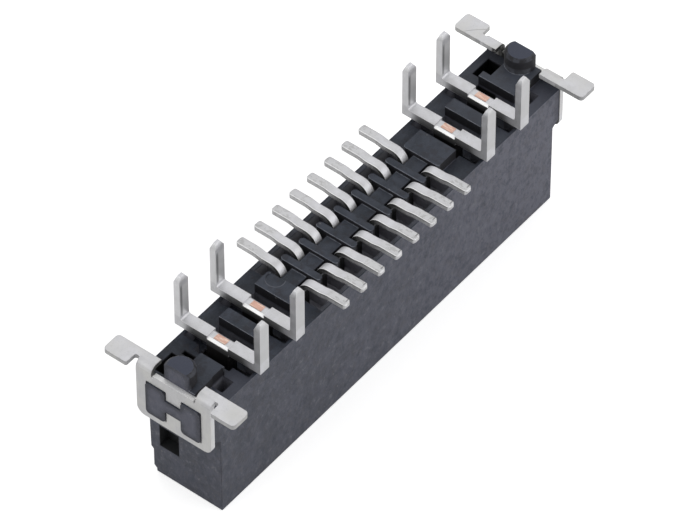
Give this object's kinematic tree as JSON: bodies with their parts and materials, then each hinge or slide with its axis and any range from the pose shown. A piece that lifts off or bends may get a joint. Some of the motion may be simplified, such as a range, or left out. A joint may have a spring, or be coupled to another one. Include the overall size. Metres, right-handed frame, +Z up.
{
  "type": "board-to-board connector",
  "caption": "Slim two-row board-to-board receptacle with bent surface-mount signal tails, U-shaped through-hole power contacts, locating pegs and sheet-metal hold-downs.",
  "frame": {"origin": "middle of the mating face, which the part stands on", "axes": "+X along the contact rows, +Y across them towards the side with the key step, +Z up towards the circuit board"},
  "size_m": [0.0266, 0.0074, 0.0105],
  "materials": {
    "housing": "moulded glass-filled plastic, matte",
    "signal_contact": "matte tin plating on copper alloy",
    "power_contact": "matte tin plating on copper alloy, bare copper where the carrier strip was sheared off",
    "hold_down": "matte tin plating on sheet"
  },
  "bodies": {
    "root": {"housing": "housing", "hold_down_near": "hold_down", "hold_down_far": "hold_down", "signal_left_1": "signal_contact", "signal_left_2": "signal_contact", "signal_left_3": "signal_contact", "signal_left_4": "signal_contact", "signal_left_5": "signal_contact", "signal_left_6": "signal_contact", "signal_left_7": "signal_contact", "signal_left_8": "signal_contact", "signal_right_1": "signal_contact", "signal_right_2": "signal_contact", "signal_right_3": "signal_contact", "signal_right_4": "signal_contact", "signal_right_5": "signal_contact", "signal_right_6": "signal_contact", "signal_right_7": "signal_contact", "signal_right_8": "signal_contact", "power_1": "power_contact", "power_2": "power_contact", "power_3": "power_contact", "power_4": "power_contact"}
  },
  "joints": []
}
